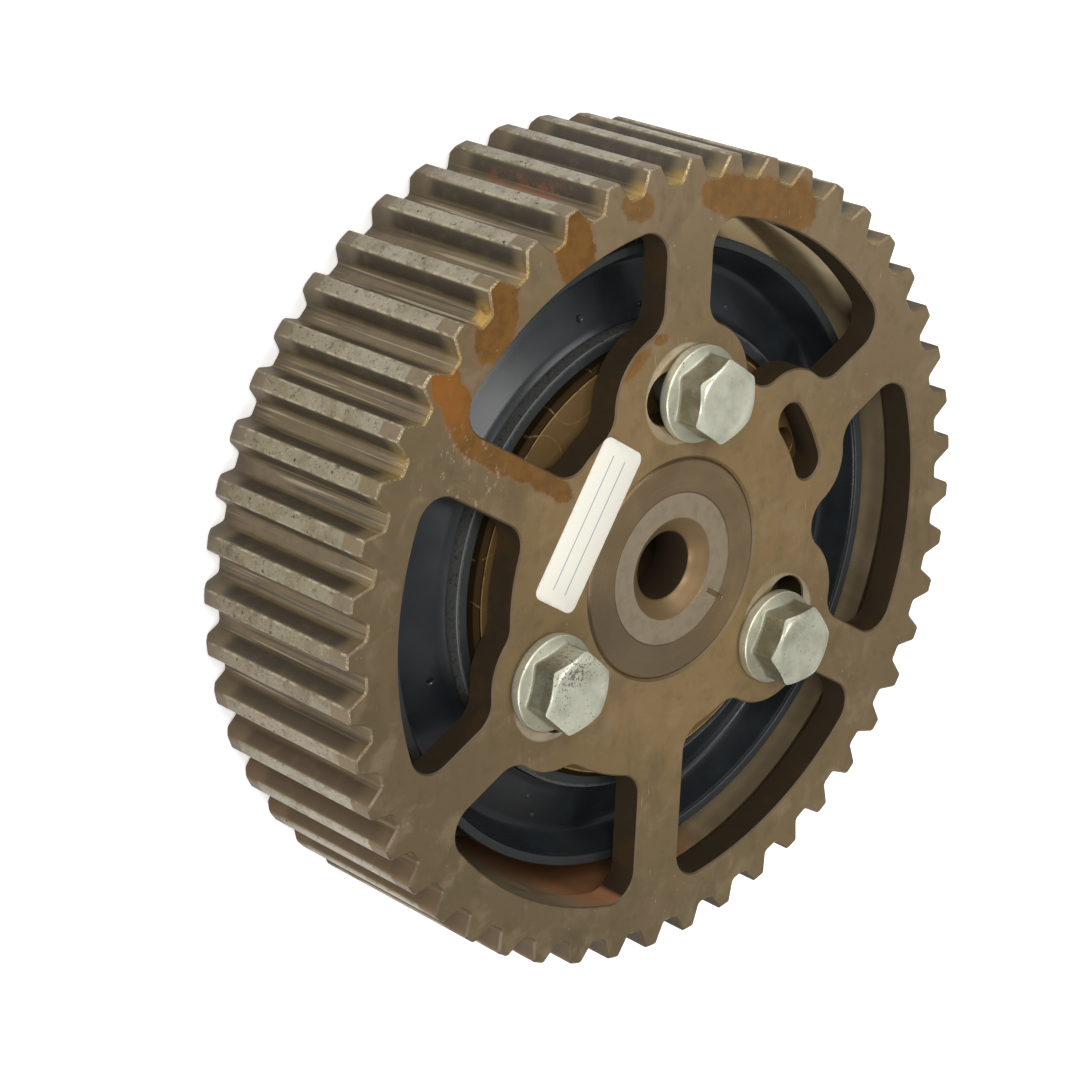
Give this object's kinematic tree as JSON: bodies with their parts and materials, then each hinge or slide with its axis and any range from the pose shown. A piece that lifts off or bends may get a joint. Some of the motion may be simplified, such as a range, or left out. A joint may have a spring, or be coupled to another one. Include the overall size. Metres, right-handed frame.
{
  "type": "camshaft sprocket",
  "caption": "Toothed-belt camshaft sprocket with spoked web, bolted through curved slots to a tapered hub that carries a rubber torsion damper.",
  "frame": {"origin": "on the axis of rotation, at the rear end of the toothed rim", "axes": "+Z along the axis of rotation out of the front face, +Y through the middle of the upper adjusting slot and its spoke"},
  "size_m": [0.144, 0.144, 0.0467],
  "materials": {
    "sintered_steel": "warm brown oiled sinter with rust patches",
    "turned_steel": "turned, brown film",
    "zinc_steel": "pale zinc",
    "damper_steel": "grey, matt",
    "damper_rubber": "satin black",
    "white_label": "matt white"
  },
  "bodies": {
    "sprocket": {"toothed_sprocket": "sintered_steel", "label": "white_label"},
    "hub_assembly": {"hub": "turned_steel", "bolt_upper": "zinc_steel", "bolt_left": "zinc_steel", "bolt_right": "zinc_steel", "damper_sleeve": "damper_steel", "damper_rubber": "damper_rubber", "damper_ring": "damper_steel"}
  },
  "joints": [
    {"name": "timing_adjustment", "type": "hinge", "parent": "sprocket", "child": "hub_assembly", "pos_m": [0, 0, 0.0356], "axis": [0, 0, 1], "range_deg": [-2.9, 12.5]}
  ]
}
